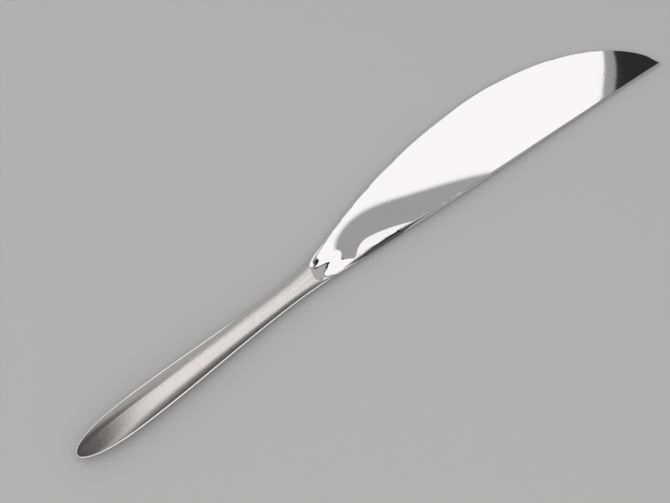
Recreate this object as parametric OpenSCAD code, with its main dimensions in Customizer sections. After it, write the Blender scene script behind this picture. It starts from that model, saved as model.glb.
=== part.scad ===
// Cake knife with a broad polished blade and a hollow satin handle, in millimetres.
// The knife lies on its side, as it does on a table: +X runs from the handle to the tip,
// +Y points to the cutting edge, +Z is up, and the middle of its footprint is at the origin.
// Sizes are given on the knife itself: x from the butt along the handle, y from the handle's axis.

/* [Handle] */
// Length from the butt to the middle of the mouth
handle_l = 110; // [95:0.5:125]
// Width at the broadest place
handle_w = 12.9; // [12:0.1:17]
// Distance from the butt to the broadest place
broad_x = 28; // [20:0.5:40]
// Thickness at the thickest place
handle_t = 6.2; // [6:0.1:7]
// Distance from the butt to the thickest place
thick_x = 34; // [28:0.5:50]
// Width of the neck
neck_w = 9; // [8.4:0.1:11]
// Thickness of the neck
neck_t = 4.1; // [3.9:0.1:4.4]
// Distance from the neck to the middle of the mouth
neck_back = 14; // [9:0.5:20]
// Width of the blunt end of the butt
butt_w = 1; // [0.6:0.1:2]
// Thickness of the blunt end of the butt
butt_t = 0.8; // [0.5:0.1:1.6]
// How far the cheeks on both edges reach past the middle of the mouth
cheek_l = 8; // [3:0.5:9]
// How far the mouth leans towards the blade on the cutting edge's side
mouth_lean = 1.8; // [0:0.1:2.5]
// Wall of the half shells
wall = 0.7; // [0.5:0.05:0.8]
// Length of the butt that is pressed solid
butt_solid = 8; // [6:0.5:14]
// Thickness of the braze between the half shells
seam_t = 0.16; // [0.1:0.02:0.4]

/* [Blade] */
// Length from the middle of the mouth to the tip
blade_l = 170; // [150:1:195]
// Distance from the mouth to the broadest place
belly_x = 90; // [75:1:105]
// Distance of the cutting edge from the axis at the broadest place
belly_y = 20.8; // [16:0.1:26]
// Distance from the mouth to the steepest place of the heel
heel_x = 20; // [17:0.5:26]
// Distance of the cutting edge from the axis at the steepest place of the heel
heel_y = 10.8; // [9:0.1:13]
// Slope of the cutting edge at the steepest place of the heel
heel_slope = 0.29; // [0.2:0.01:0.36]
// Distance from the mouth to where the back leaves the neck
back_x = 14; // [11:0.5:20]
// Distance of the back from the axis where it leaves the neck
back_y = 6.1; // [5.4:0.1:7]
// Slope of the back where it leaves the neck
back_slope = 0.1; // [0.06:0.005:0.14]
// Slope of the back at the tip
tip_slope = 0.085; // [0.05:0.005:0.12]
// Distance of the tip from the axis
tip_y = 18.2; // [14:0.1:22]
// Thickness of the sheet at the back
back_t = 1.2; // [1:0.1:1.8]
// Thickness of the back at the tip
tip_t = 1.2; // [1:0.1:1.6]
// Extra thickness of the back at the heel
hump_t = 2; // [1:0.1:2.4]
// Distance from the mouth to where the extra thickness starts
rise_x = 9; // [4:0.5:12]
// Length over which it rises
rise_l = 17; // [10:0.5:22]
// Thickness behind the bevel of the cutting edge
bevel_t = 0.8; // [0.6:0.05:1]
// Width of the bevel
bevel_w = 0.7; // [0.5:0.05:1]
// Thickness along the cutting edge
edge_t = 0.12; // [0.1:0.02:0.3]
// Rounding of the back
back_r = 0.35; // [0.2:0.05:0.6]
// Rounding of the back at the heel
heel_r = 2.2; // [1:0.1:2.6]
// Distance from the mouth to the roundest place of the back
heel_r_x = 38; // [28:1:44]
// Distance over which the back loses that rounding
heel_r_l = 20; // [14:1:26]
// Length of the hollow sweep from the bolster down to the flank
sweep_l = 14; // [10:0.5:20]

/* [Tang] */
// Length of the spigot that plugs the mouth
spigot_l = 6; // [4:0.5:9]
// Length of the tang behind the spigot
tang_l = 56; // [40:1:62]
// Width of the tang
tang_w = 3.6; // [3:0.1:4.2]
// Thickness of the tang
tang_t = 1.7; // [1.4:0.1:2]
// Number of notches that key the tang into the cement
notches = 3; // [1:1:4]
// Depth of a notch on each edge of the tang
notch_d = 0.5; // [0.3:0.05:0.7]
// Length of a notch
notch_l = 5; // [3:0.5:7]
// Distance between notches
notch_pitch = 12; // [8:0.5:12]
// Length of the cement behind the end of the tang
cement_tail = 6; // [3:0.5:10]
// Clearance round the spigot, the tang and the cement
fit = 0.05; // [0.03:0.01:0.1]
// Clearance between the bolster and the mouth of the handle
joint = 0.05; // [0.03:0.01:0.1]

/* [Hidden] */

// Points round a full section, and points across a half shell
ring_n = 40;
half_n = 17;
// Places along the knife
neck_x = handle_l - neck_back;
heel_at = handle_l + heel_x;
belly_at = handle_l + belly_x;
back_at = handle_l + back_x;
tip_x = handle_l + blade_l;
bolster_x = handle_l + joint;
spigot_at = handle_l - spigot_l;
tang_at = spigot_at - tang_l;
cement_at = tang_at - cement_tail;
// Shape of the leaf end of the handle: roundness in plan and in thickness
leaf_power = 2.8;
leaf_root = 0.58;
leaf_rise = 2.2;
leaf_drop = 1.05;
// A half shell's section is a lens, a little fuller at the neck: 1 is a parabola and 0.5 an ellipse
lens_butt = 0.93;
lens_neck = 0.85;
// The cheeks start this far behind the mouth and fade this far past the sweep
cheek_run = 30;
cheek_fade = 50;
// The cheeks hug the edges: the middle of the mouth stays flat
cheek_power = 5;
// Roundness of the belly towards the tip
belly_power = 2.05;
belly_root = 0.56;
// Steepness of the sweep
sweep_power = 3.6;
// The extra thickness fades slowly along the back, and quickly away from it
hump_fade = 1.3;
hump_hollow = 3;
// The tip ends in a flat this long before the outlines cross
tip_flat = 0.1;
// Corners of the tang
tang_corner = 0.35;

function mix(a, b, t) = a + (b - a) * t;
function clamp01(t) = min(1, max(0, t));
function ease(t) = clamp01(t) * clamp01(t) * (3 - 2 * clamp01(t));
function sign_pow(v, p) = sign(v) * pow(abs(v), p);
// Cubic curve from [x, y, slope] to [x, y, slope]
function curve(a, b, x) =
    let (l = b[0] - a[0], t = (x - a[0]) / l)
    a[1] * (1 - t) * (1 - t) * (1 + 2 * t) + b[1] * t * t * (3 - 2 * t)
    + a[2] * l * t * (1 - t) * (1 - t) - b[2] * l * t * t * (1 - t);

// Half width and half thickness of the handle's leaf end
function leaf_w(x) =
    mix(butt_w, handle_w, pow(1 - pow(1 - clamp01(x / broad_x), leaf_power), leaf_root)) / 2;
function leaf_t(x) =
    mix(butt_t, handle_t, pow(1 - pow(1 - clamp01(x / thick_x), leaf_rise), leaf_drop)) / 2;
function handle_half_w(x) =
    x < broad_x ? leaf_w(x) : curve([broad_x, handle_w / 2, 0], [neck_x, neck_w / 2, 0], x);
function half_t(x) =
    x < thick_x ? leaf_t(x)
    : mix(handle_t, neck_t, ease((x - thick_x) / (neck_x - thick_x))) / 2;

// Outline of the whole knife: the cutting edge's side and the back's side
function edge_y(x) =
    x < neck_x ? handle_half_w(x)
    : x < heel_at ? curve([neck_x, neck_w / 2, 0], [heel_at, heel_y, heel_slope], x)
    : x < belly_at ? curve([heel_at, heel_y, heel_slope], [belly_at, belly_y, 0], x)
    : let (t = clamp01((x - belly_at) / (tip_x - belly_at)))
      mix(-tip_y, belly_y, pow(1 - pow(t, belly_power), belly_root));
function back_line(x) =
    x < neck_x ? -handle_half_w(x)
    : x < back_at ? curve([neck_x, -neck_w / 2, 0], [back_at, -back_y, -back_slope], x)
    : curve([back_at, -back_y, -back_slope], [tip_x, -tip_y, -tip_slope], x);
function mid_y(x) = (edge_y(x) + back_line(x)) / 2;
function half_w(x) = (edge_y(x) - back_line(x)) / 2;

// The mouth is a curve that wraps the section: its cheeks lie at a = 0 and a = 180
function mouth(a) = cheek_l * pow(abs(cos(a)), cheek_power) + mouth_lean * cos(a);
function handle_x(x, a) = x + mouth(a) * ease((x - handle_l + cheek_run) / cheek_run);
function blade_x(x, a) = x + mouth(a) * (1 - ease((x - bolster_x - sweep_l) / cheek_fade));
function lens(x) = 2 * mix(lens_butt, lens_neck, ease(x / neck_x));

// A point on the handle's section at angle a, set in by inset and split by a gap at the seam
function handle_point(x, a, inset = 0, gap = 0) =
    let (px = handle_x(x, a), g = sin(a) < 0 ? -gap : gap)
    [px,
     mid_y(px) + (half_w(px) - inset) * cos(a),
     g + (half_t(px) - inset - gap) * sign_pow(sin(a), lens(px))];

// Half thickness of the blade at angle a, with a rounded back and a bevelled cutting edge
function corner(d) = sqrt(1 - pow(1 - clamp01(d), 2));
function bell(d) = exp(-d * d);
function flank(x, a) =
    let (from_mouth = x - handle_l, w = 2 * half_w(x), from_edge = (1 - cos(a)) / 2,
         back_half = mix(back_t, tip_t, from_mouth / blade_l) / 2,
         hump_half = hump_t / 2 * ease((from_mouth - rise_x) / rise_l)
                     * (1 - pow(clamp01(from_mouth / blade_l), hump_fade)),
         round_r = mix(back_r, heel_r, bell((from_mouth - heel_r_x) / heel_r_l)),
         sheet = mix(bevel_t / 2, back_half, from_edge) + hump_half * pow(from_edge, hump_hollow))
    min(sheet * corner(w * (1 - from_edge) / round_r),
        edge_t / 2 + w * from_edge * (bevel_t - edge_t) / 2 / bevel_w);
// A point on the blade's skin: the bolster sweeps down from the handle's section to the flank
function blade_point(x, a) =
    let (px = blade_x(x, a),
         s = 1 - clamp01((x - bolster_x) / sweep_l),
         neck = abs(handle_point(handle_l, a)[2]),
         thin = flank(px, a))
    [px, mid_y(px) + half_w(px) * cos(a), sign(sin(a)) * mix(thin, neck, pow(s, sweep_power))];
function tang_point(x, a, half_width, grow) =
    [x, (half_width + grow) * sign_pow(cos(a), tang_corner),
     (tang_t / 2 + grow) * sign_pow(sin(a), tang_corner)];

// Rings of points along the knife
function angles(n) = [for (k = [0:n - 1]) 360 * k / n];
function ring(x, inset) = [for (a = angles(ring_n)) handle_point(x, a, inset)];
function tang_ring(x, half_width, grow) =
    [for (a = angles(ring_n)) tang_point(x, a, half_width, grow)];
// The tang from its end to the spigot, with saw-tooth notches
function tang_rings(grow) = concat(
    [tang_ring(tang_at - grow, tang_w / 2, grow)],
    [for (n = [1:notches], step = [[0, 0], [0, notch_d], [notch_l, 0]])
        tang_ring(tang_at + n * notch_pitch + step[0], tang_w / 2 - step[1], grow)],
    [tang_ring(spigot_at, tang_w / 2, grow)]);
function spaced(from, to, n) = [for (i = [0:n]) mix(from, to, i / n)];
// Stations of the blade: close at the sweep, then even, then closing up towards the tip
sweep_n = 14;
flank_n = 30;
tip_n = 16;
tip_zone = 30;
sweep_end = bolster_x + sweep_l;
sweep_xs = [for (i = [0:sweep_n]) bolster_x + sweep_l * pow(i / sweep_n, 1.3)];
flank_xs = [for (i = [1:flank_n]) mix(sweep_end, tip_x - tip_zone, i / flank_n)];
tip_xs = [for (i = [1:tip_n]) mix(tip_x - tip_flat, tip_x - tip_zone, pow(1 - i / tip_n, 1.8))];
blade_xs = concat(sweep_xs, flank_xs, tip_xs);
blade_rings = [for (x = blade_xs) [for (a = angles(ring_n)) blade_point(x, a)]];
// Stations of the handle: close at the leaf end
shell_n = 46;
shell_ts = [for (i = [0:shell_n]) pow(i / shell_n, 1.5)];
skin_rings = [for (t = shell_ts) ring(handle_l * t, 0)];

// Rest on a flat surface: on the swell of the handle, the corner of the tip and the place
// behind the bevel that comes down first when the knife rolls over those two
swell = [thick_x, 0, -handle_t / 2];
tip_corner = [tip_x, -tip_y, -tip_t / 2];
function rest_up(x) = cross(tip_corner - swell, [x, edge_y(x) - bevel_w, -bevel_t / 2] - swell);
function rest_roll(x) = let (up = rest_up(x)) atan2(up[1], up[2]);
touch_n = 60;
touch_xs = spaced(belly_at, tip_x - tip_flat, touch_n);
touch_rolls = [for (x = touch_xs) rest_roll(x)];
roll = max(touch_rolls);
up = rest_up(touch_xs[search(roll, touch_rolls)[0]]);
pitch = -atan2(up[0], norm([up[1], up[2]]));
function laid(p) =
    let (y = p[1] * cos(roll) - p[2] * sin(roll), z = p[1] * sin(roll) + p[2] * cos(roll))
    [p[0] * cos(pitch) + z * sin(pitch), y, z * cos(pitch) - p[0] * sin(pitch)];
laid_points = [for (r = concat(blade_rings, skin_rings), p = r) laid(p)];
function axis(i) = [for (p = laid_points) p[i]];
foot = [(min(axis(0)) + max(axis(0))) / 2, (min(axis(1)) + max(axis(1))) / 2, min(axis(2))];
module lay() {
    translate(-foot)
        rotate([roll, pitch, 0])
            children();
}

// Skin between rings of n points, each ring joined to the next
function skin_faces(rings, n) = [
    for (i = [0:rings - 2], k = [0:n - 1])
        let (a = i * n + k, b = i * n + (k + 1) % n)
        each [[a, a + n, b + n], [a, b + n, b]]
];
// A closed solid from a chain of rings with a flat cap at both ends
module loft(rings) {
    n = len(rings[0]);
    last = (len(rings) - 1) * n;
    caps = [[for (k = [0:n - 1]) k], [for (k = [n - 1:-1:0]) last + k]];
    polyhedron([for (r = rings) each r], concat(skin_faces(len(rings), n), caps));
}

// One half of the hollow handle, on the upper side
module half_shell() {
    m = half_n + 1;
    n = 2 * m;
    outside = [for (k = [0:half_n]) 180 * k / half_n];
    inside = [for (k = [half_n:-1:0]) 180 * k / half_n];
    rings = [for (t = shell_ts) concat(
        [for (a = outside) handle_point(handle_l * t, a, 0, seam_t / 2)],
        [for (a = inside) handle_point(mix(butt_solid, handle_l, t), a, wall, seam_t / 2)])];
    last = shell_n * n;
    butt = [
        [for (k = [0:half_n]) k],
        [for (k = [m:n - 1]) k],
        [0, half_n, m, n - 1]
    ];
    mouth = [for (k = [0:half_n - 1])
        each [[last + k, last + n - 1 - k, last + n - 2 - k],
              [last + k, last + n - 2 - k, last + k + 1]]];
    polyhedron([for (r = rings) each r], concat(skin_faces(shell_n + 1, n), butt, mouth));
}

module blade() {
    spigot = [for (x = spaced(spigot_at, handle_l, 4)) ring(x, wall + fit)];
    color("gainsboro") lay() loft(concat(tang_rings(0), spigot, blade_rings));
}
module handle_upper_shell() {
    color("darkgray") lay() half_shell();
}
module handle_lower_shell() {
    color("darkgray") lay() mirror([0, 0, 1]) half_shell();
}
module seam_braze() {
    out_edge = [for (t = shell_ts) handle_point(handle_l * t, 0)];
    out_back = [for (t = shell_ts) handle_point(handle_l * t, 180)];
    in_edge = [for (t = shell_ts) handle_point(mix(butt_solid, handle_l, t), 0, wall)];
    in_back = [for (t = shell_ts) handle_point(mix(butt_solid, handle_l, t), 180, wall)];
    hairpin = concat(out_edge, [for (i = [shell_n:-1:0]) in_edge[i]],
                     in_back, [for (i = [shell_n:-1:0]) out_back[i]]);
    color("lightgray") lay()
        linear_extrude(height = seam_t, center = true)
            polygon([for (p = hairpin) [p[0], p[1]]]);
}
module handle_cement() {
    fill = [for (x = spaced(cement_at, spigot_at, 28)) ring(x, wall + fit)];
    pocket = tang_rings(fit);
    color("tan") lay()
        loft(concat(fill, [for (i = [len(pocket) - 1:-1:0]) pocket[i]]));
}

blade();
handle_upper_shell();
handle_lower_shell();
seam_braze();
handle_cement();
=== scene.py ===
import math

import bpy
import numpy as np
from mathutils import Matrix, Vector


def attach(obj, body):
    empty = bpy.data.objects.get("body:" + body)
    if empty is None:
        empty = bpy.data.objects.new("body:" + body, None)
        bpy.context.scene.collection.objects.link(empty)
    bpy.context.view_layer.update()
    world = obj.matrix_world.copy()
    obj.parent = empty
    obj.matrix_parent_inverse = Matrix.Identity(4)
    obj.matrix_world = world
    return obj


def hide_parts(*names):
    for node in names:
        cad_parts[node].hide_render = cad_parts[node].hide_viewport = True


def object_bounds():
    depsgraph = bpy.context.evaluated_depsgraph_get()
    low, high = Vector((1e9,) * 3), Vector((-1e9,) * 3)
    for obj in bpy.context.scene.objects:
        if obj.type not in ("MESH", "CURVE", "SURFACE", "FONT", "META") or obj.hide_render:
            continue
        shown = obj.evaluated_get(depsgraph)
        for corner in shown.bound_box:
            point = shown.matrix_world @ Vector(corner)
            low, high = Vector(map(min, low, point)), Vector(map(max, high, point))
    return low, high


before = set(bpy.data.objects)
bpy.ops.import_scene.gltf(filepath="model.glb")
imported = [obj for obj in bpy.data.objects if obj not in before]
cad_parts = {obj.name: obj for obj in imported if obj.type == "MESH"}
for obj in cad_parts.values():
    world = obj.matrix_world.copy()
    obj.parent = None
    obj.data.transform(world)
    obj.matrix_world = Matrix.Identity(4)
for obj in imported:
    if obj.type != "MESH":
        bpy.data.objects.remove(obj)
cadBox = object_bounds()
scene = bpy.context.scene
scene.view_settings.view_transform = "Standard"
print("frame loaded:", ", ".join(sorted(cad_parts)))

mm = 0.001  # the knife's own sizes below are in millimetres, as in the part's source


def blendTo(a, b, t):
    return a + (b - a) * t


def unit(t):
    return np.clip(t, 0, 1)


def eased(t):
    t = unit(t)
    return t * t * (3 - 2 * t)


def bell(t):
    return np.exp(-t * t)


def rounded(t):
    return np.sqrt(1 - (1 - unit(t)) ** 2)


def signPow(v, p):
    return np.sign(v) * np.abs(v) ** p


def cubic(a, b, x):  # from (x, y, slope) to (x, y, slope)
    span = b[0] - a[0]
    t = (x - a[0]) / span
    return (a[1] * (1 - t) ** 2 * (1 + 2 * t) + b[1] * t * t * (3 - 2 * t)
            + a[2] * span * t * (1 - t) ** 2 - b[2] * span * t * t * (1 - t))


# two half shells: a leaf from the butt to the swell, a waist to the neck, and a mouth with two cheeks
handle = dict(length=110, width=12.9, broadAt=28, thick=6.17, thickAt=34,
              neckWidth=9, neckThick=4.1, neckBack=14, buttWidth=1, buttThick=0.8,
              leafPower=2.8, leafRoot=0.58, leafRise=2.2, leafDrop=1.05, lensButt=0.93, lensNeck=0.85,
              cheek=8, lean=1.8, cheekRun=30, cheekPower=5, wall=0.7, buttSolid=8, seam=0.16,
              leastWide=0.3, slopeOver=0.05, stations=220, crowd=1.5, across=64, sharp=35)
# one forging: the back, the belly of the edge, its bevel, a hump along the back, and the sweep up to the neck
blade = dict(length=170, bellyAt=90, bellyY=20.799, bellyPower=2.05, bellyRoot=0.56,
             heelAt=20, heelY=10.8, heelSlope=0.29, backAt=14, backY=6.1, backSlope=0.1,
             tipSlope=0.085, tipY=18.199, tipFlat=0.1, backThick=1.2, tipThick=1.2,
             bevelThick=0.8, bevelWide=0.7, edgeThick=0.12,
             hump=2, humpFade=1.3, humpHollow=3, riseAt=9, riseRun=17,
             backRound=0.35, heelRound=1.4, heelRoundAt=27, heelRoundRun=17, heelRoundHold=1.5,
             sweep=14, sweepPower=3.1, cheekFade=50, joint=0.05,
             around=240, crowd=0.42, sweepRings=90, sweepCrowd=1.3, flankRings=170,
             tipRings=90, tipZone=30, tipCrowd=1.8, restTries=61, sharp=15)

neckX = handle["length"] - handle["neckBack"]
bolsterX = handle["length"] + blade["joint"]
heelX = handle["length"] + blade["heelAt"]
bellyX = handle["length"] + blade["bellyAt"]
backX = handle["length"] + blade["backAt"]
tipX = handle["length"] + blade["length"]


def leafWidth(x):
    k = handle
    grow = (1 - (1 - unit(x / k["broadAt"])) ** k["leafPower"]) ** k["leafRoot"]
    return blendTo(k["buttWidth"], k["width"], grow) / 2


def leafThick(x):
    k = handle
    grow = (1 - (1 - unit(x / k["thickAt"])) ** k["leafRise"]) ** k["leafDrop"]
    return blendTo(k["buttThick"], k["thick"], grow) / 2


def handleHalfWidth(x):
    k = handle
    waist = cubic((k["broadAt"], k["width"] / 2, 0), (neckX, k["neckWidth"] / 2, 0), x)
    return np.where(x < k["broadAt"], leafWidth(x), waist)


def halfThick(x):
    k = handle
    run = eased((x - k["thickAt"]) / (neckX - k["thickAt"]))
    return np.where(x < k["thickAt"], leafThick(x), blendTo(k["thick"], k["neckThick"], run) / 2)


# outlines of the whole knife: the cutting edge's side, then the back's side
def edgeLine(x):
    k = blade
    t = unit((x - bellyX) / (tipX - bellyX))
    y = blendTo(-k["tipY"], k["bellyY"], (1 - t ** k["bellyPower"]) ** k["bellyRoot"])
    heel = (heelX, k["heelY"], k["heelSlope"])
    y = np.where(x < bellyX, cubic(heel, (bellyX, k["bellyY"], 0), x), y)
    y = np.where(x < heelX, cubic((neckX, handle["neckWidth"] / 2, 0), heel, x), y)
    return np.where(x < neckX, handleHalfWidth(x), y)


def backLine(x):
    k = blade
    leave = (backX, -k["backY"], -k["backSlope"])
    y = cubic(leave, (tipX, -k["tipY"], -k["tipSlope"]), x)
    y = np.where(x < backX, cubic((neckX, -handle["neckWidth"] / 2, 0), leave, x), y)
    return np.where(x < neckX, -handleHalfWidth(x), y)


def midLine(x):
    return (edgeLine(x) + backLine(x)) / 2


def halfWidth(x):
    return (edgeLine(x) - backLine(x)) / 2


# the mouth of the handle wraps the section, its cheeks lie on both edges
def mouth(a):
    return handle["cheek"] * np.abs(np.cos(a)) ** handle["cheekPower"] + handle["lean"] * np.cos(a)


# a narrow flat land runs round the handle along the seam, outside the satin shells,
# and on the cutting edge's side it runs out half way up the handle
land = dict(width=0.42, neckWidth=0.32, thick=0.2, bury=0.4, fadeRun=9, edgeEnd=66, edgeRun=14,
            round=0.05, roundMid=0.3, sharp=20)


def landWidth(x, side):
    k = land
    thin = eased((x - handle["broadAt"]) / (neckX - handle["broadAt"]))
    wide = blendTo(k["width"], k["neckWidth"], thin)
    wide = wide * eased((handle["length"] + handle["cheek"] - x) / k["fadeRun"])
    return np.where(side > 0, wide * (1 - eased((x - k["edgeEnd"]) / k["edgeRun"])), wide)


def lens(x):
    return 2 * blendTo(handle["lensButt"], handle["lensNeck"], eased(x / neckX))


# a point of the handle's skin, or of one set in by a wall; step leaves room for the land
def handlePoint(x, a, inset=0.0, gap=0.0, step=0.0):
    k = handle
    px = x + mouth(a) * eased((x - k["length"] + k["cheekRun"]) / k["cheekRun"])
    side = np.where(np.sin(a) < 0, -1, 1)
    z = side * gap + (halfThick(px) - inset - gap) * signPow(np.sin(a), lens(px))
    slope = (halfWidth(px + k["slopeOver"]) - halfWidth(px)) / k["slopeOver"]
    back = step * landWidth(px, np.cos(a)) * np.sqrt(1 + slope ** 2)
    wide = np.maximum(halfWidth(px) - inset - back, k["leastWide"] * halfWidth(px))
    return np.stack([px, midLine(px) + wide * np.cos(a), z], -1)


# small forms of the blade's faces: a low ridge by the heel, a flatter face near the tip,
# a step down just past the mouth, and a back that is roof shaped at the heel
dent = dict(wedge=0.31, wedgeAt=27.4, wedgeRun=18, wedgePower=1.7, flatFrom=100, flatRun=40,
            drop=0.66, dropFrom=1.2, dropRun=3.0, dropFade=12, dropAcross=0.82, dropWide=0.25, dropEven=4,
            roof=1.2)


def flank(x, a):
    k, d = blade, dent
    wide = 2 * halfWidth(x)
    fromEdge = (1 - np.cos(a)) / 2
    fromMouth = x - handle["length"]
    backHalf = blendTo(k["backThick"], k["tipThick"], fromMouth / k["length"]) / 2
    hump = k["hump"] / 2 * eased((fromMouth - k["riseAt"]) / k["riseRun"])
    hump = hump * (1 - unit(fromMouth / k["length"]) ** k["humpFade"])
    hump = hump * (1 - eased((fromMouth - d["flatFrom"]) / d["flatRun"]))
    wedge = d["wedge"] * bell((fromMouth - d["wedgeAt"]) / d["wedgeRun"])
    half = blendTo(k["bevelThick"] / 2, backHalf, fromEdge)
    half = half + hump * fromEdge ** k["humpHollow"] + wedge * fromEdge ** d["wedgePower"]
    heel = unit(k["heelRoundHold"] * bell((fromMouth - k["heelRoundAt"]) / k["heelRoundRun"]))
    fromBack = unit(wide * (1 - fromEdge) / blendTo(k["backRound"], k["heelRound"], heel))
    back = blendTo(rounded(fromBack), 1 - (1 - fromBack) ** d["roof"], heel)
    bevel = k["edgeThick"] / 2 + wide * fromEdge * (k["bevelThick"] - k["edgeThick"]) / 2 / k["bevelWide"]
    return np.minimum(half * back, bevel)


def bladePoint(x, a):
    k, d = blade, dent
    px = x + mouth(a) * (1 - eased((x - bolsterX - k["sweep"]) / k["cheekFade"]))
    fromMouth = x - bolsterX
    down = (1 - unit(fromMouth / k["sweep"])) ** k["sweepPower"]
    neck = np.abs(handlePoint(np.full_like(a, handle["length"]), a)[..., 2])
    z = blendTo(flank(px, a), neck, down)
    across = np.exp(-(((1 - np.cos(a)) / 2 - d["dropAcross"]) / d["dropWide"]) ** d["dropEven"])
    stepEnd = d["dropFrom"] + d["dropRun"]
    fall = (fromMouth - d["dropFrom"]) / d["dropRun"]
    step = (unit(fall) + eased(fall)) / 2 * (1 - eased((fromMouth - stepEnd) / d["dropFade"]))
    z = np.maximum(z - d["drop"] * across * step, 0)
    return np.stack([px, midLine(px) + halfWidth(px) * np.cos(a), np.sign(np.sin(a)) * z], -1)


# inside the handle: a spigot that fits the neck, and a tang with notches for the cement
tang = dict(spigot=6, spigotRings=5, length=56, width=3.6, thick=1.7, corner=0.35, fit=0.05,
            notches=3, notchDeep=0.5, notchLong=5, notchPitch=12)


def tangPoint(x, a, halfWide):
    k = tang
    return np.stack([np.full_like(a, x), halfWide * signPow(np.cos(a), k["corner"]),
                     k["thick"] / 2 * signPow(np.sin(a), k["corner"])], -1)


# the knife lies on its handle's swell, the corner of its tip and the place behind its bevel
def restAngles():
    k = blade
    swell = np.array([handle["thickAt"], 0, -handle["thick"] / 2])
    corner = np.array([tipX, -k["tipY"], -k["tipThick"] / 2])
    xs = np.linspace(bellyX, tipX - k["tipFlat"], k["restTries"])
    edge = np.stack([xs, edgeLine(xs) - k["bevelWide"], np.full_like(xs, -k["bevelThick"] / 2)], -1)
    ups = np.cross(corner - swell, edge - swell)
    up = ups[np.argmax(np.arctan2(ups[:, 1], ups[:, 2]))]
    return math.atan2(up[1], up[2]), -math.atan2(up[0], math.hypot(up[1], up[2]))


roll, pitch = restAngles()
turn = np.array((Matrix.Rotation(pitch, 3, "Y") @ Matrix.Rotation(roll, 3, "X")))


def laid(points):
    return points @ turn.T * mm


def skin(rings, around):
    return [(i * around + j, i * around + (j + 1) % around,
             (i + 1) * around + (j + 1) % around, (i + 1) * around + j)
            for i in range(rings - 1) for j in range(around)]


def makePiece(name, rings, faces, sharp):
    mesh = bpy.data.meshes.new(name)
    mesh.from_pydata([tuple(p) for p in laid(np.concatenate(rings))], [], faces)
    mesh.validate()
    mesh.update()
    mesh.polygons.foreach_set("use_smooth", [True] * len(mesh.polygons))
    mesh.set_sharp_from_angle(angle=math.radians(sharp))
    piece = bpy.data.objects.new(name, mesh)
    scene.collection.objects.link(piece)
    return piece


def makeLoft(name, rings, sharp):  # a skin over the rings, closed at both ends
    around = len(rings[0])
    last = (len(rings) - 1) * around
    faces = skin(len(rings), around)
    faces.append(tuple(range(around - 1, -1, -1)))
    faces.append(tuple(last + j for j in range(around)))
    return makePiece(name, rings, faces, sharp)


# angles crowd together at the cutting edge and at the back, where the section is rounded
def bladeAngles():
    t = np.arange(blade["around"]) / blade["around"] * 2 * np.pi
    return t - blade["crowd"] * np.sin(2 * t)


def tangRings(a):
    g = tang
    spigotX = handle["length"] - g["spigot"]
    tangX = spigotX - g["length"]
    rings = [tangPoint(tangX, a, g["width"] / 2)]
    for n in range(1, g["notches"] + 1):
        x = tangX + n * g["notchPitch"]
        for dx, deep in ((0, 0), (0, g["notchDeep"]), (g["notchLong"], 0)):
            rings.append(tangPoint(x + dx, a, g["width"] / 2 - deep))
    rings.append(tangPoint(spigotX, a, g["width"] / 2))
    for x in np.linspace(spigotX, handle["length"], g["spigotRings"]):
        rings.append(handlePoint(np.full_like(a, x), a, handle["wall"] + g["fit"]))
    return rings


# rings lie closest at the mouth and at the tip
def bladeStations():
    k = blade
    sweepN, flankN, tipN = k["sweepRings"], k["flankRings"], k["tipRings"]
    sweepEnd, zone, end = bolsterX + k["sweep"], tipX - k["tipZone"], tipX - k["tipFlat"]
    xs = [bolsterX + k["sweep"] * (i / sweepN) ** k["sweepCrowd"] for i in range(sweepN + 1)]
    xs += [blendTo(sweepEnd, zone, i / flankN) for i in range(1, flankN + 1)]
    xs += [blendTo(end, zone, (1 - i / tipN) ** k["tipCrowd"]) for i in range(1, tipN + 1)]
    return xs


def makeBlade():
    a = bladeAngles()
    rings = tangRings(a) + [bladePoint(np.full_like(a, x), a) for x in bladeStations()]
    return makeLoft("blade_forged", rings, blade["sharp"])


def shellStations():
    n = handle["stations"]
    return [(i / n) ** handle["crowd"] for i in range(n + 1)]


def makeShell(name, side):
    k = handle
    n = k["across"]
    out = np.linspace(0, np.pi, n + 1)
    inn = out[::-1]
    half = k["seam"] / 2
    rings = []
    for t in shellStations():
        outX = np.full_like(out, blendTo(land["width"], k["length"], t))
        innX = np.full_like(inn, blendTo(k["buttSolid"], k["length"], t))
        outside = handlePoint(outX, out, 0, half, 1)
        inside = handlePoint(innX, inn, k["wall"], half)
        rings.append(np.concatenate([outside, inside]) * (1, 1, side))
    m = 2 * (n + 1)
    last = (len(rings) - 1) * m
    faces = skin(len(rings), m)
    # the butt is closed outside and inside, then between the two, and the mouth is a rim
    faces.append(tuple(range(n, -1, -1)))
    faces.append(tuple(range(m - 1, n, -1)))
    faces.append((0, n, n + 1, m - 1))
    faces += [(last + j, last + j + 1, last + m - 2 - j, last + m - 1 - j) for j in range(n)]
    if side < 0:
        faces = [tuple(reversed(f)) for f in faces]
    return makePiece(name, rings, faces, k["sharp"])


# the braze stands out between the shells as a flat dressed land, its outer corners broken
def makeSeam():
    k = land
    ts = shellStations()
    path = [handlePoint(np.array(handle["length"] * t), np.array(0.0)) for t in reversed(ts)]
    path += [handlePoint(np.array(handle["length"] * t), np.array(np.pi)) for t in ts]
    path = np.array(path)
    sides = np.repeat([1, -1], len(ts))
    along = np.gradient(path, axis=0)
    along /= np.linalg.norm(along, axis=1, keepdims=True)
    outward = np.stack([along[:, 1], -along[:, 0], np.zeros(len(path))], -1)
    half, r = k["thick"] / 2, k["round"]
    mid = k["roundMid"] * r
    rings = []
    for p, o, side in zip(path, outward, sides):
        reach = landWidth(p[0], side) + k["bury"]
        profile = [(-reach, -half), (-reach, half), (-r, half), (-mid, half - mid), (0, half - r),
                   (0, r - half), (-mid, mid - half), (-r, -half)]
        rings.append(np.array([p + o * u + (0, 0, v) for u, v in profile]))
    return makeLoft("seam_land", rings, k["sharp"])


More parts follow.
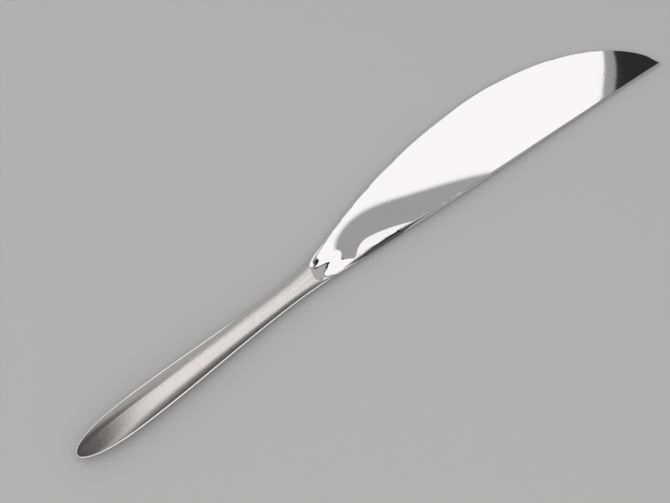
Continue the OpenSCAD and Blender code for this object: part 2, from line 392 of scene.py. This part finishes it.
# the knife is set down where the CAD model lies
def setDown(pieces):
    points = []
    for piece in pieces:
        co = np.empty(len(piece.data.vertices) * 3)
        piece.data.vertices.foreach_get("co", co)
        points.append(co.reshape(-1, 3))
    points = np.concatenate(points)
    low, high = points.min(0), points.max(0)
    cadLow, cadHigh = np.array(cadBox[0]), np.array(cadBox[1])
    shift = (cadLow + cadHigh) / 2 - (low + high) / 2
    shift[2] = cadLow[2] - low[2]
    for piece in pieces:
        piece.data.transform(Matrix.Translation(Vector(shift)))
    return shift


bladePiece = makeBlade()
upperPiece = makeShell("handle_upper_satin", 1)
lowerPiece = makeShell("handle_lower_satin", -1)
seamPiece = makeSeam()
shift = setDown([bladePiece, upperPiece, lowerPiece, seamPiece])
print("pieces made, shift in mm", [round(v / mm, 3) for v in shift], "roll", round(math.degrees(roll), 3))


def newMaterial(name):
    mat = bpy.data.materials.new(name)
    mat.use_nodes = True
    nodes, links = mat.node_tree.nodes, mat.node_tree.links
    return mat, nodes, links, nodes["Principled BSDF"]


def addNode(nodes, kind, **values):
    node = nodes.new(kind)
    for key, value in values.items():
        if key in node.inputs:
            node.inputs[key].default_value = value
        else:
            setattr(node, key, value)
    return node


def addNoise(nodes, links, stretch=None, **values):
    spot = addNode(nodes, "ShaderNodeTexCoord").outputs["Object"]
    if stretch:
        squeeze = addNode(nodes, "ShaderNodeMapping", Scale=stretch)
        links.new(spot, squeeze.inputs["Vector"])
        spot = squeeze.outputs["Vector"]
    noise = addNode(nodes, "ShaderNodeTexNoise", **values)
    links.new(spot, noise.inputs["Vector"])
    return noise.outputs["Fac"]


def ramp(nodes, links, source, stops):  # stops are (place, grey level or colour)
    node = nodes.new("ShaderNodeValToRGB")
    while len(node.color_ramp.elements) < len(stops):
        node.color_ramp.elements.new(0.5)
    for element, (at, value) in zip(node.color_ramp.elements, stops):
        element.position = at
        element.color = (value, value, value, 1) if isinstance(value, float) else (*value, 1)
    links.new(source, node.inputs["Fac"])
    return node.outputs["Color"]


def addBump(nodes, links, shader, height, strength, deep):
    bump = addNode(nodes, "ShaderNodeBump", Strength=strength, Distance=deep)
    links.new(height, bump.inputs["Height"])
    links.new(bump.outputs["Normal"], shader.inputs["Normal"])


mirror = dict(color=(0.91, 0.895, 0.90), rough=[(0.3, 0.015), (0.75, 0.03)], haze=14,
              lines=900, stretch=(1.0, 0.03, 0.03), bump=0.002, bumpDeep=0.001)


# mirror polish: a faint haze that comes and goes, and hair-fine buffing lines across the blade
def mirrorSteel():
    k = mirror
    mat, nodes, links, shader = newMaterial("mirror_polished_steel")
    shader.inputs["Metallic"].default_value = 1.0
    shader.inputs["Base Color"].default_value = (*k["color"], 1)
    haze = addNoise(nodes, links, Scale=k["haze"], Detail=4.0, Roughness=0.6)
    links.new(ramp(nodes, links, haze, k["rough"]), shader.inputs["Roughness"])
    buff = addNoise(nodes, links, k["stretch"], Scale=k["lines"], Detail=2.0)
    addBump(nodes, links, shader, buff, k["bump"], k["bumpDeep"])
    return mat


satin = dict(tone=[(0.35, (0.76, 0.728, 0.728)), (0.65, (0.82, 0.785, 0.785))],
             rough=[(0.3, 0.25), (0.7, 0.30)], lines=2200, stretch=(1.0, 0.08, 0.08), grain=5200,
             bump=0.10, bumpDeep=0.00004)


# satin: short brushed lines across the handle over a fine grain
def satinSteel():
    k = satin
    mat, nodes, links, shader = newMaterial("satin_brushed_steel")
    shader.inputs["Metallic"].default_value = 1.0
    brush = addNoise(nodes, links, k["stretch"], Scale=k["lines"], Detail=3.0, Roughness=0.65)
    grain = addNoise(nodes, links, Scale=k["grain"], Detail=2.0)
    links.new(ramp(nodes, links, brush, k["tone"]), shader.inputs["Base Color"])
    links.new(ramp(nodes, links, grain, k["rough"]), shader.inputs["Roughness"])
    addBump(nodes, links, shader, brush, k["bump"], k["bumpDeep"])
    return mat


# the braze's roughness and grain are its own finish; its lighter colour is painted highlight along the
# handle's rim
brazeFinishAndHighlight = dict(color=(0.88, 0.87, 0.86), rough=[(0.3, 0.10), (0.7, 0.18)], grain=900)


# the seam land is buffed smoother than the shells; its lighter colour is a painted highlight that brightens
# the rim line along both edges
def brazeWithPaintedHighlight():
    k = brazeFinishAndHighlight
    mat, nodes, links, shader = newMaterial("braze_with_painted_rim_highlight")
    shader.inputs["Metallic"].default_value = 1.0
    shader.inputs["Base Color"].default_value = (*k["color"], 1)
    grain = addNoise(nodes, links, Scale=k["grain"], Detail=3.0)
    links.new(ramp(nodes, links, grain, k["rough"]), shader.inputs["Roughness"])
    return mat


resin = dict(tone=[(0.35, (0.42, 0.36, 0.28)), (0.6, (0.55, 0.48, 0.38))], rough=0.7, specks=700,
             bump=0.3, bumpDeep=0.0001)


# cast resin: darker specks in a buff ground, slightly pitted
def castCement():
    k = resin
    mat, nodes, links, shader = newMaterial("cast_resin_cement")
    shader.inputs["Roughness"].default_value = k["rough"]
    speck = addNoise(nodes, links, Scale=k["specks"], Detail=5.0)
    links.new(ramp(nodes, links, speck, k["tone"]), shader.inputs["Base Color"])
    addBump(nodes, links, shader, speck, k["bump"], k["bumpDeep"])
    return mat


def dress(piece, mat, node):
    piece.data.materials.clear()
    piece.data.materials.append(mat)
    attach(piece, "root")
    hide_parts(node)


satinMat = satinSteel()
dress(bladePiece, mirrorSteel(), "blade")
dress(upperPiece, satinMat, "handle_upper_shell")
dress(lowerPiece, satinMat, "handle_lower_shell")
dress(seamPiece, brazeWithPaintedHighlight(), "seam_braze")
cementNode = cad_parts["handle_cement"]  # hidden inside the handle, so the CAD solid stays
cementMat = castCement()
for materialSlot in cementNode.material_slots:
    materialSlot.material = cementMat
print("materials on")

view = dict(azimuth=-40.9768, elevation=61.9887, distance=0.6022125, aim=(-0.0161179, 0.0020438, 0.0),
            lens=85, sensor=36, clip=0.01)


def makeCamera():
    az, el = math.radians(view["azimuth"]), math.radians(view["elevation"])
    away = Vector((math.sin(az) * math.cos(el), -math.cos(az) * math.cos(el), math.sin(el)))
    right = Vector((math.cos(az), math.sin(az), 0))
    up = away.cross(right)
    data = bpy.data.cameras.new("camera")
    data.lens = view["lens"]
    data.sensor_width = view["sensor"]
    data.clip_start = view["clip"]
    cam = bpy.data.objects.new("camera", data)
    spot = Vector(view["aim"]) + away * view["distance"]
    cam.matrix_world = Matrix(((right.x, up.x, away.x, spot.x), (right.y, up.y, away.y, spot.y),
                               (right.z, up.z, away.z, spot.z), (0, 0, 0, 1)))
    scene.collection.objects.link(cam)
    scene.camera = cam


makeCamera()

# the studio is laid out as the camera sees it, in metres: right, away from the camera, up
facing = math.radians(view["azimuth"])


def studioPoint(right, far, up):
    return (right * math.cos(facing) - far * math.sin(facing),
            right * math.sin(facing) + far * math.cos(facing), up)


# a glowing card; it may fade along one way: (right, far) of that way, where it starts and ends, what is left
def makeCard(name, corners, glow, soft=None):
    mesh = bpy.data.meshes.new(name)
    mesh.from_pydata([studioPoint(*c) for c in corners], [], [tuple(range(len(corners)))])
    card = bpy.data.objects.new(name, mesh)
    scene.collection.objects.link(card)
    mat, nodes, links, shader = newMaterial(name)
    nodes.remove(shader)
    light = addNode(nodes, "ShaderNodeEmission", Strength=glow)
    links.new(light.outputs["Emission"], nodes["Material Output"].inputs["Surface"])
    if soft:
        way, start, end, rest = soft
        place = addNode(nodes, "ShaderNodeTexCoord")
        reach = addNode(nodes, "ShaderNodeVectorMath", operation="DOT_PRODUCT")
        links.new(place.outputs["Object"], reach.inputs[0])
        reach.inputs[1].default_value = studioPoint(*way, 0.0)
        fade = ramp(nodes, links, reach.outputs["Value"], [(start, 1.0), (end, rest)])
        links.new(fade, light.inputs["Color"])
    mesh.materials.append(mat)
    card.visible_camera = False
    return card


def flatCard(name, plan, high, glow, soft=None):
    return makeCard(name, [(right, far, high) for right, far in plan], glow, soft)


tones = dict(grey=0.36, dark=0.025)
floor = dict(color=(0.50, 0.50, 0.50), rough=0.9, shine=0.1, half=3.0, below=0.00005)


def makeFloor():
    s = floor["half"]
    mesh = bpy.data.meshes.new("studio_floor")
    mesh.from_pydata([(-s, -s, 0), (s, -s, 0), (s, s, 0), (-s, s, 0)], [], [(0, 1, 2, 3)])
    ground = bpy.data.objects.new("studio_floor", mesh)
    ground.location.z = cadBox[0][2] - floor["below"]
    scene.collection.objects.link(ground)
    mat, nodes, links, shader = newMaterial("pale_floor")
    shader.inputs["Base Color"].default_value = (*floor["color"], 1)
    shader.inputs["Roughness"].default_value = floor["rough"]
    shader.inputs["Specular IOR Level"].default_value = floor["shine"]
    mesh.materials.append(mat)


# the box over the blade whitens it; its far side slants and fades to grey, and past its right side lie
# a grey strip, a dark gap and a wide grey card, which the tip and the mouth of the handle mirror
box = dict(high=0.75, glow=1.03, farAt=0.532, farSlope=1.187, left=-0.276, right=0.134, turn=0.17,
           soft=0.008, sideFrom=0.2, nearEnd=[(0.60, -0.10), (0.55, -0.40), (0.548, -0.744)])
strip = dict(wide=0.011, glow=0.33)
gap = dict(wide=0.085, bendAt=0.8, endWide=0.05)
beyond = dict(glow=0.42, near=-0.06, nearLeft=0.62, right=2.5, far=2.0)


def makeOverhead():
    b, high, wide = box, box["high"], strip["wide"]
    slant = math.hypot(1, b["farSlope"])
    edge, over = b["farAt"] / slant, b["soft"] / 2
    far = b["farAt"] + over * slant
    cornerRight = (b["right"] + b["turn"] * far) / (1 - b["turn"] * b["farSlope"])
    cornerFar = far + b["farSlope"] * cornerRight

    def sidePoint(at, out):  # on the box's right side, or out from it
        return (b["right"] + b["turn"] * at + out, at)

    def cornerPoint(out):
        return (cornerRight + out, cornerFar)

    start, out = b["sideFrom"], wide + gap["wide"]
    fade = ((-b["farSlope"] / slant, 1 / slant), edge - over, edge + over, tones["grey"])
    plan = [(b["left"], far + b["farSlope"] * b["left"]), cornerPoint(0), sidePoint(start, 0), *b["nearEnd"]]
    flatCard("overhead_box", plan, high, b["glow"], fade)
    plan = [sidePoint(start, 0), sidePoint(start, wide), cornerPoint(wide), cornerPoint(0)]
    flatCard("side_strip", plan, high, strip["glow"])
    bend, end = sidePoint(gap["bendAt"], out), cornerPoint(wide + gap["endWide"])
    plan = [sidePoint(start, wide), sidePoint(start, out), bend, end, cornerPoint(wide)]
    flatCard("side_gap", plan, high, tones["dark"])
    g = beyond
    plan = [sidePoint(start, out), (g["nearLeft"], g["near"]), (g["right"], g["near"]), (g["right"], g["far"]),
            (end[0], g["far"]), end, bend]
    flatCard("side_grey", plan, high, g["glow"])


# two upright cards on the far side: a bright panel with a slanted top, and a grey screen behind it
panel = dict(far=1.2, left=-0.552, low=0.5, topAt=0.96, topSlope=1.129, rightSlope=0.3, glow=1.0)
screen = dict(far=1.25, left=-0.45, right=0.16, low=1.2, high=2.6)


def makeFarCards():
    p, far = panel, panel["far"]
    leftHigh = (far - p["topSlope"] * p["left"]) / p["topAt"]
    rightHigh = far / (p["topAt"] + p["topSlope"] * p["rightSlope"])
    outline = [(p["left"], p["low"]), (p["rightSlope"] * p["low"], p["low"]),
               (p["rightSlope"] * rightHigh, rightHigh), (p["left"], leftHigh)]
    makeCard("far_panel", [(right, far, up) for right, up in outline], p["glow"])
    s = screen
    outline = [(s["left"], s["low"]), (s["right"], s["low"]), (s["right"], s["high"]), (s["left"], s["high"])]
    makeCard("grey_screen", [(right, s["far"], up) for right, up in outline], tones["grey"])


glint = dict(high=0.3, left=-0.239, right=-0.072, near=0.074, far=0.278, slope=0.544, glow=1.0,
             tint=(1.0, 0.95, 0.95))


# a low card that only shapes the glint on the handle
def makeHandleCard():
    c = glint
    leftFar = c["far"] - c["slope"] * (c["right"] - c["left"])
    plan = [(c["left"], c["near"]), (c["right"], c["near"]), (c["right"], c["far"]), (c["left"], leftFar)]
    card = flatCard("handle_card", plan, c["high"], c["glow"])
    card.active_material.node_tree.nodes["Emission"].inputs["Color"].default_value = (*c["tint"], 1)
    card.visible_diffuse = False


# each wall: which way it lies, where along that way the dark ends, where it is lit, and how bright
room = dict(fill=0.95, walls=[((0, 1, 0), 0.71, 0.79, 0.40),
                              ((0.515, -0.594, 0.617), 0.955, 0.985, 0.40),
                              ((-0.70, -0.61, 0.37), 0.93, 0.97, 0.40),
                              ((0, 0, 1), 0.32, 0.27, 0.09)])


# the room: an even fill for matt surfaces, and for metal a dark room with a few grey walls
def makeRoom():
    world = bpy.data.worlds.new("studio_room")
    scene.world = world
    world.use_nodes = True
    nodes, links = world.node_tree.nodes, world.node_tree.links
    path = addNode(nodes, "ShaderNodeLightPath")
    place = addNode(nodes, "ShaderNodeTexCoord")
    walls = []
    for way, dark, lit, level in room["walls"]:
        reach = addNode(nodes, "ShaderNodeVectorMath", operation="DOT_PRODUCT")
        links.new(place.outputs["Generated"], reach.inputs[0])
        reach.inputs[1].default_value = studioPoint(*way)
        stops = sorted([(dark, tones["dark"]), (lit, level)])
        walls.append(ramp(nodes, links, reach.outputs["Value"], stops))
    brightest = walls[0]
    for wall in walls[1:]:
        lighter = addNode(nodes, "ShaderNodeMath", operation="MAXIMUM")
        links.new(brightest, lighter.inputs[0])
        links.new(wall, lighter.inputs[1])
        brightest = lighter.outputs["Value"]
    pick = addNode(nodes, "ShaderNodeMix", data_type="RGBA")
    fillIn, wallIn = pick.inputs[6], pick.inputs[7]  # the two colour sockets
    links.new(path.outputs["Is Glossy Ray"], pick.inputs["Factor"])
    fillIn.default_value = (room["fill"], room["fill"], room["fill"], 1)
    links.new(brightest, wallIn)
    links.new(pick.outputs[2], nodes["Background"].inputs["Color"])


makeFloor()
makeOverhead()
makeFarCards()
makeHandleCard()
makeRoom()
print("studio set")
